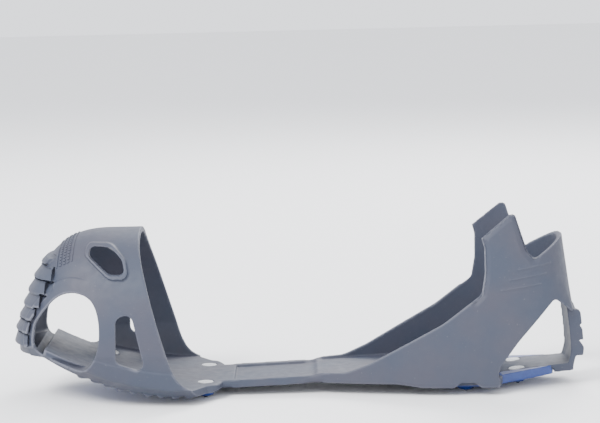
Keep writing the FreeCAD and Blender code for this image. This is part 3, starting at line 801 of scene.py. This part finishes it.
    def slope_bumper(self) -> None:
        """Turns the square ribs round the nose into sloping teeth with a ledge below."""
        points = self.skin.points
        height = (points[:, 2] - self.tooth_first) / self.tooth_pitch
        share = height - np.floor(height)
        on_nose = ((points[:, 0] < self.nose + self.tooth_reach) & (height > 0.0)
                   & (height < self.tooth_count))
        on_rib = on_nose & (share < self.tooth_share)
        out = self.outwardness(points, self.skin.normals()) > 0.0
        framed = self.frame_distance(points) < self.tooth_clearance
        pull = np.where(on_rib & out & ~framed,
                        self.tooth_slope * share / self.tooth_share, 0.0)
        core = np.array([self.nose + self.toe_core, 0.0])
        away = points[:, :2] - core
        away /= np.maximum(np.linalg.norm(away, axis=1, keepdims=True), TINY)
        points[:, :2] -= away * pull[:, None]

    def frame_distance(self, points: Array) -> Array:
        """Distance outside the large side opening.

        Args:
            points: places of the vertices.

        Returns:
            One distance for each vertex, 0 within the opening.
        """
        flat = points[:, [0, 2]]
        near = (flat[:, 0] < self.nose + self.window_reach) & (flat[:, 1] < self.window_top)
        away = np.full(len(points), UNMEASURED)
        loop = self.window()
        away[near] = distance_to_path(flat[near], loop)
        away[near] = np.where(inside_loop(flat[near], loop), 0.0, away[near])
        return away

    def raise_frames(self) -> None:
        """Raised frame round the large opening and the step above the floor's side."""
        points, normals = self.skin.points, self.skin.normals()
        along = points[:, 0]
        out = self.outer_face.rise(self.outwardness(points, normals))
        away = self.frame_distance(points)
        width = self.frame_band + self.frame_extra * self.frame_widening.rise(along, self.nose)
        fade = self.frame_fade.fall(along, self.nose)
        rise = self.frame_rise * fade * self.step_edge.fall(away - width)
        ahead = np.clip(self.nose + self.rocker_from_nose - along, 0.0, self.rocker_radius)
        floor = self.floor_gap + self.rocker_radius - np.sqrt(
            self.rocker_radius ** 2 - ahead ** 2)
        above = points[:, 2] - np.minimum(floor, self.step_ceiling) - self.step_height
        side = self.step_side.rise(np.abs(points[:, 1]))
        reach = (self.step_start.rise(along, self.nose)
                 * self.step_finish.fall(along, self.nose))
        rise += self.step_rise * reach * side * self.step_edge.fall(above)
        self.skin.points += normals * (rise * out)[:, None]

    def bevel_tab(self) -> None:
        """Wide bevel along the tab's edges, on the outside only."""
        points, normals = self.skin.points, self.skin.normals()
        flat = points[:, [0, 2]]
        near = (flat[:, 0] > self.back - self.tab_reach) & (flat[:, 1] > self.tab_foot)
        away = np.full(len(points), UNMEASURED)
        away[near] = distance_to_path(flat[near], self.tab_edge(), closed=False)
        out = self.bevel_face.rise(self.outwardness(points, normals))
        drop = self.bevel_depth * np.clip(1.0 - away / self.bevel_width, 0.0, 1.0)
        self.skin.points -= normals * (drop * out)[:, None]

    def emboss_lines(self) -> None:
        """Three slim raised lines on each side of the heel."""
        points, normals = self.skin.points, self.skin.normals()
        flat = points[:, [0, 2]]
        out = self.line_face.rise(self.outwardness(points, normals))
        rise = np.zeros(len(points))
        for row, (start, length) in enumerate(self.lines):
            x, z = self.back - start, self.line_height - self.line_pitch * row
            line = np.array([(x, z), (x + length, z + self.line_slant)])
            near = np.abs(flat[:, 1] - z) < self.line_reach
            away = np.full(len(points), UNMEASURED)
            away[near] = distance_to_path(flat[near], line, closed=False)
            rise = np.maximum(rise, self.line_rise * self.line_edge.fall(away))
        self.skin.points += normals * (rise * out)[:, None]

    def flatten_back(self) -> None:
        """Brings the back of the heel out and makes the back strap flatter."""
        points = self.skin.points
        behind = self.back_start.rise(points[:, 0], self.back)
        above = self.back_foot.rise(points[:, 2])
        rise = self.back_shift * behind * above
        strap = self.strap_start.rise(points[:, 0], self.back)
        strap *= self.strap_top.fall(points[:, 2])
        across = np.minimum(np.abs(points[:, 1]), self.strap_reach)
        rise += strap * self.strap_flatness * across ** 2 / (2.0 * self.strap_radius)
        points[:, 0] += rise

    def scallop_heel(self) -> None:
        """Notches in the lower edge of the arms that bare the heel plate's front bosses."""
        points = self.skin.points
        along = self.notch_ends.fall(np.abs(points[:, 0] - self.boss_place))
        outside = self.notch_side.rise(np.abs(points[:, 1]))
        low = self.notch_top.fall(points[:, 2])
        points[:, 2] += self.notch_depth * along * outside * low

    def ease_joins(self) -> None:
        """Rounds the steps where the arch strap meets the two halves."""
        for place in (self.flex, self.joint):
            near = self.join_reach.fall(np.abs(self.skin.points[:, 0] - place))
            self.skin.relax(self.join_passes, share=near[:, None])

    def shape(self) -> None:
        """Fuses the CAD nodes and gives the surface its rounded and raised details."""
        voxel = self.voxel
        self.skin = Moulding.from_nodes(list(self.nodes.values()), voxel,
                                        (self.flex, self.joint))
        LOG.info("harness surface: %d points", len(self.skin.points))
        self.slope_bumper()
        self.skin.even_out(self.first_passes)
        self.skin.relax(1)
        self.ease_joins()
        self.flatten_back()
        self.scallop_heel()
        self.raise_frames()
        self.bevel_tab()
        self.skin.even_out(self.last_passes)
        self.emboss_lines()

    def build(self) -> list[bpy.types.Object]:
        """Moulds the harness and cuts it where it bends and where it stretches.

        Returns:
            The four pieces, toe first.
        """
        self.shape()
        bend_start = self.flex + self.plain_length
        bend_end = bend_start + self.sole_bend
        stretch_start = bend_end + self.plain_length
        stretch_end = stretch_start + self.stretch_length
        toe = self.skin.write("toe_cap", -FAR, bend_start, self.cap_limit)
        strap = self.skin.write("arch_strap", bend_start, stretch_start, self.strap_limit)
        arms = self.skin.write("stretch_arms", stretch_start, stretch_end, self.arms_limit)
        heel = self.skin.write("heel_cup", stretch_end, FAR, self.cap_limit)
        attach(toe, Body.FOREFOOT.value)
        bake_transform(strap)
        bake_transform(arms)
        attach(heel, Body.HEEL.value)
        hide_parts("toe_harness")
        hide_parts("arch_web")
        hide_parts("heel_harness")
        pieces = [toe, strap, arms, heel]
        for piece in pieces:
            piece.data.materials.clear()
            piece.data.materials.append(self.finish)
            LOG.info("%s: %d faces", piece.name, len(piece.data.polygons))
        return pieces


# ------------------------------------------------------------------ grip patch

@dataclass
class GripPatch:
    """Band of tiny raised squares between two slim lines, over the top of the toe."""

    toe: bpy.types.Object
    finish: bpy.types.Material
    centre: float = 34.0
    half_length: float = 33.0
    square: float = 1.5
    pitch: float = 2.3
    columns: int = 3
    rise: float = 0.45
    round_radius: float = 57.0      # length along the patch for each radian of turn
    lean: float = 2.0               # how far it leans forward for each radian of turn
    line_gap: float = 2.2
    line_width: float = 0.75
    line_share: float = 0.62
    axis_height: float = 34.0
    cast_length: float = 120.0
    edge_bevel: float = 0.12
    longest_edge: float = 9.0
    shade: float = 0.56             # value of "relief" on the whole patch

    def spot(self, tree: BVHTree, x: float, turn: float) -> tuple[Vector, Vector] | None:
        """Finds the toe's outside at a place along X and an angle round it.

        Args:
            tree: search tree of the toe cap.
            x: place along X, in millimetres.
            turn: angle from straight up, in radians.

        Returns:
            Point and outward direction, or None where there is no surface.
        """
        away = Vector((0.0, math.sin(turn), math.cos(turn)))
        start = Vector((x * MM, 0.0, self.axis_height * MM)) + away * (self.cast_length * MM)
        hit, normal, _, _ = tree.ray_cast(start, -away)
        return None if hit is None else (hit, normal)

    def build(self) -> bpy.types.Object:
        """Places the squares and the lines on the toe cap.

        Returns:
            The patch.
        """
        depsgraph = bpy.context.evaluated_depsgraph_get()
        tree = BVHTree.FromObject(self.toe, depsgraph)
        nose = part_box("toe_harness")[0][0] / MM
        mesh = bmesh.new()
        rows = int(2 * self.half_length / self.pitch)
        middle = (self.columns - 1) / 2
        for row in range(rows + 1):
            turn = (row - rows / 2) * self.pitch / self.round_radius
            for column in range(self.columns):
                x = nose + self.centre + (column - middle) * self.pitch
                found = self.spot(tree, x - self.lean * abs(turn), turn)
                if found:
                    self.add_block(mesh, *found, self.square, self.square)
            for side in (-1.0, 1.0):
                x = nose + self.centre + side * (middle * self.pitch + self.line_gap)
                for half in (0.0, 0.5):
                    slant = turn + half * self.pitch / self.round_radius
                    found = self.spot(tree, x - self.lean * abs(slant), slant)
                    if found:
                        self.add_block(mesh, *found, self.line_width,
                                       self.pitch * self.line_share)
        edges = [edge for edge in mesh.edges if edge.calc_length() < self.longest_edge * MM]
        bmesh.ops.bevel(mesh, geom=edges, offset=self.edge_bevel * MM, segments=2,
                        profile=0.5, affect="EDGES", material=-1)
        for face in mesh.faces:
            face.smooth = True
        data = bpy.data.meshes.new("grip_patch")
        mesh.to_mesh(data)
        mesh.free()
        data.attributes.new("relief", "FLOAT", "POINT").data.foreach_set(
            "value", np.full(len(data.vertices), self.shade, np.float32))
        made = bpy.data.objects.new("grip_patch", data)
        bpy.context.scene.collection.objects.link(made)
        data.materials.append(self.finish)
        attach(made, Body.FOREFOOT.value)
        return made

    def add_block(self, mesh: bmesh.types.BMesh, place: Vector, normal: Vector,
                  length: float, width: float) -> None:
        """Adds one low block standing on the surface.

        Args:
            mesh: mesh to add to.
            place: point on the surface.
            normal: outward direction there.
            length: size along X.
            width: size round the toe.
        """
        across = Vector((1.0, 0.0, 0.0))
        across = (across - normal * across.dot(normal)).normalized()
        turn = Matrix((across, normal.cross(across), normal)).transposed().to_4x4()
        tall = 2 * self.rise
        grow = Matrix.Diagonal((length * MM, width * MM, tall * MM, 1.0))
        bmesh.ops.create_cube(mesh, size=1.0, matrix=Matrix.Translation(place) @ turn @ grow)


# ------------------------------------------------------------------ plates and studs

@dataclass
class StudPlates:
    """The two blue plates under the harness, with softly moulded edges."""

    nodes: Nodes
    finish: bpy.types.Material
    voxel: float = 0.5
    quick_voxel: float = 0.9
    passes: int = 4
    limit: int = 150000             # most triangles of each plate

    def build(self) -> list[bpy.types.Object]:
        """Moulds both plates.

        Returns:
            The forefoot plate and the heel plate.
        """
        made = []
        voxel = self.voxel
        for name, body in (("forefoot_stud_plate", Body.FOREFOOT),
                           ("heel_stud_plate", Body.HEEL)):
            skin = Moulding.from_nodes([self.nodes[name]], voxel)
            skin.even_out(self.passes)
            skin.relax(1)
            plate = skin.write(name + "_moulded", -FAR, FAR, self.limit)
            plate.data.materials.clear()
            plate.data.materials.append(self.finish)
            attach(plate, body.value)
            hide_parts(name)
            LOG.info("%s: %d faces", plate.name, len(plate.data.polygons))
            made.append(plate)
        return made


@dataclass
class Studs:
    """Steel jackets and carbide tips keep their turned shape and get their metals."""

    nodes: Nodes

    def build(self) -> int:
        """Gives each stud node its metal.

        Returns:
            The number of nodes finished.
        """
        metals = {"stud_jacket": (STEEL.material(), Slot.JACKET),
                  "carbide_tip": (CARBIDE.material(), Slot.CARBIDE)}
        count = 0
        for name, node in self.nodes.items():
            for prefix, (metal, slot) in metals.items():
                if name.startswith(prefix):
                    node.material_slots[0].link = "OBJECT"
                    node.material_slots[0].material = metal
                    count += 1
        LOG.info("studs: %d nodes", count)
        return count


# ------------------------------------------------------------------ studio

@dataclass(frozen=True)
class Lamp:
    """One square area light, in metres and watts."""

    name: str
    place: tuple[float, float, float]
    size: float
    power: float


@dataclass
class Studio:
    """Pale floor, soft lights and the camera."""

    aim: tuple[float, float, float] = (0.00456, 0.0, 0.10298)
    distance: float = 1.2
    elevation: float = 7.0
    roll: float = 1.366
    lens: float = 123.97
    sensor: float = 36.0
    view_depth: float = 20.0
    half_floor: float = 6.0
    floor_colour: Colour = (0.86, 0.86, 0.865)
    floor_dullness: float = 0.9
    sky: Colour = (0.93, 0.95, 1.0)
    sky_strength: float = 1.9
    lit_point: tuple[float, float, float] = (0.0, 0.0, 0.04)
    lamps: tuple[Lamp, ...] = (Lamp("key", (-0.9, -0.9, 1.3), 0.7, 48.0),
                               Lamp("fill", (1.1, -1.4, 0.7), 1.2, 12.0),
                               Lamp("rim", (0.4, 1.2, 1.2), 0.8, 30.0))

    def build(self) -> None:
        """Adds the floor, the world, the lights and the camera."""
        self.lay_floor()
        self.light_world()
        for lamp in self.lamps:
            self.hang(lamp)
        self.place_camera()

    def lay_floor(self) -> None:
        """Adds a large matte floor at the ground."""
        mesh = bmesh.new()
        bmesh.ops.create_grid(mesh, x_segments=1, y_segments=1, size=self.half_floor)
        data = bpy.data.meshes.new("floor")
        mesh.to_mesh(data)
        mesh.free()
        floor = bpy.data.objects.new("floor", data)
        bpy.context.scene.collection.objects.link(floor)
        paint = Shader("floor_paint")
        paint.surface.inputs["Base Color"].default_value = (*self.floor_colour, 1.0)
        paint.surface.inputs["Roughness"].default_value = self.floor_dullness
        data.materials.append(paint.material)

    def light_world(self) -> None:
        """Gives the scene an even, slightly cool sky."""
        world = bpy.data.worlds.new("studio")
        world.use_nodes = True
        sky = world.node_tree.nodes["Background"]
        sky.inputs["Color"].default_value = (*self.sky, 1.0)
        sky.inputs["Strength"].default_value = self.sky_strength
        bpy.context.scene.world = world

    def hang(self, lamp: Lamp) -> None:
        """Adds one light that shines at the middle of the part.

        Args:
            lamp: light to add.
        """
        light = bpy.data.lights.new(lamp.name, "AREA")
        light.energy, light.size = lamp.power, lamp.size
        made = bpy.data.objects.new(lamp.name, light)
        made.location = lamp.place
        towards = Vector(self.lit_point) - Vector(lamp.place)
        made.rotation_euler = towards.to_track_quat("-Z", "Y").to_euler()
        bpy.context.scene.collection.objects.link(made)

    def place_camera(self) -> None:
        """Adds the camera, slightly above the part and rolled a little."""
        data = bpy.data.cameras.new("camera")
        data.lens, data.sensor_width = self.lens, self.sensor
        data.clip_end = self.view_depth
        camera = bpy.data.objects.new("camera", data)
        tilt = math.radians(self.elevation)
        forward = Vector((0.0, math.cos(tilt), -math.sin(tilt)))
        camera.location = Vector(self.aim) - forward * self.distance
        turn = forward.to_track_quat("-Z", "Y").to_matrix().to_4x4()
        roll = Matrix.Rotation(-math.radians(self.roll), 4, "Z")
        camera.rotation_euler = (turn @ roll).to_euler()
        bpy.context.scene.collection.objects.link(camera)
        bpy.context.scene.camera = camera


def main() -> None:
    """Builds every piece in order."""
    logging.basicConfig(level=logging.INFO, format="%(name)s: %(message)s")
    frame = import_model()
    nodes = frame["nodes"]
    rubber = RubberFinish().material()
    harness = Harness({name: nodes[name] for name in
                       ("toe_harness", "arch_web", "heel_harness")}, rubber)
    pieces = harness.build()
    GripPatch(pieces[0], rubber).build()
    StudPlates(nodes, PlateFinish().material()).build()
    Studs(nodes).build()
    Studio().build()


if __name__ == "__main__":
    main()
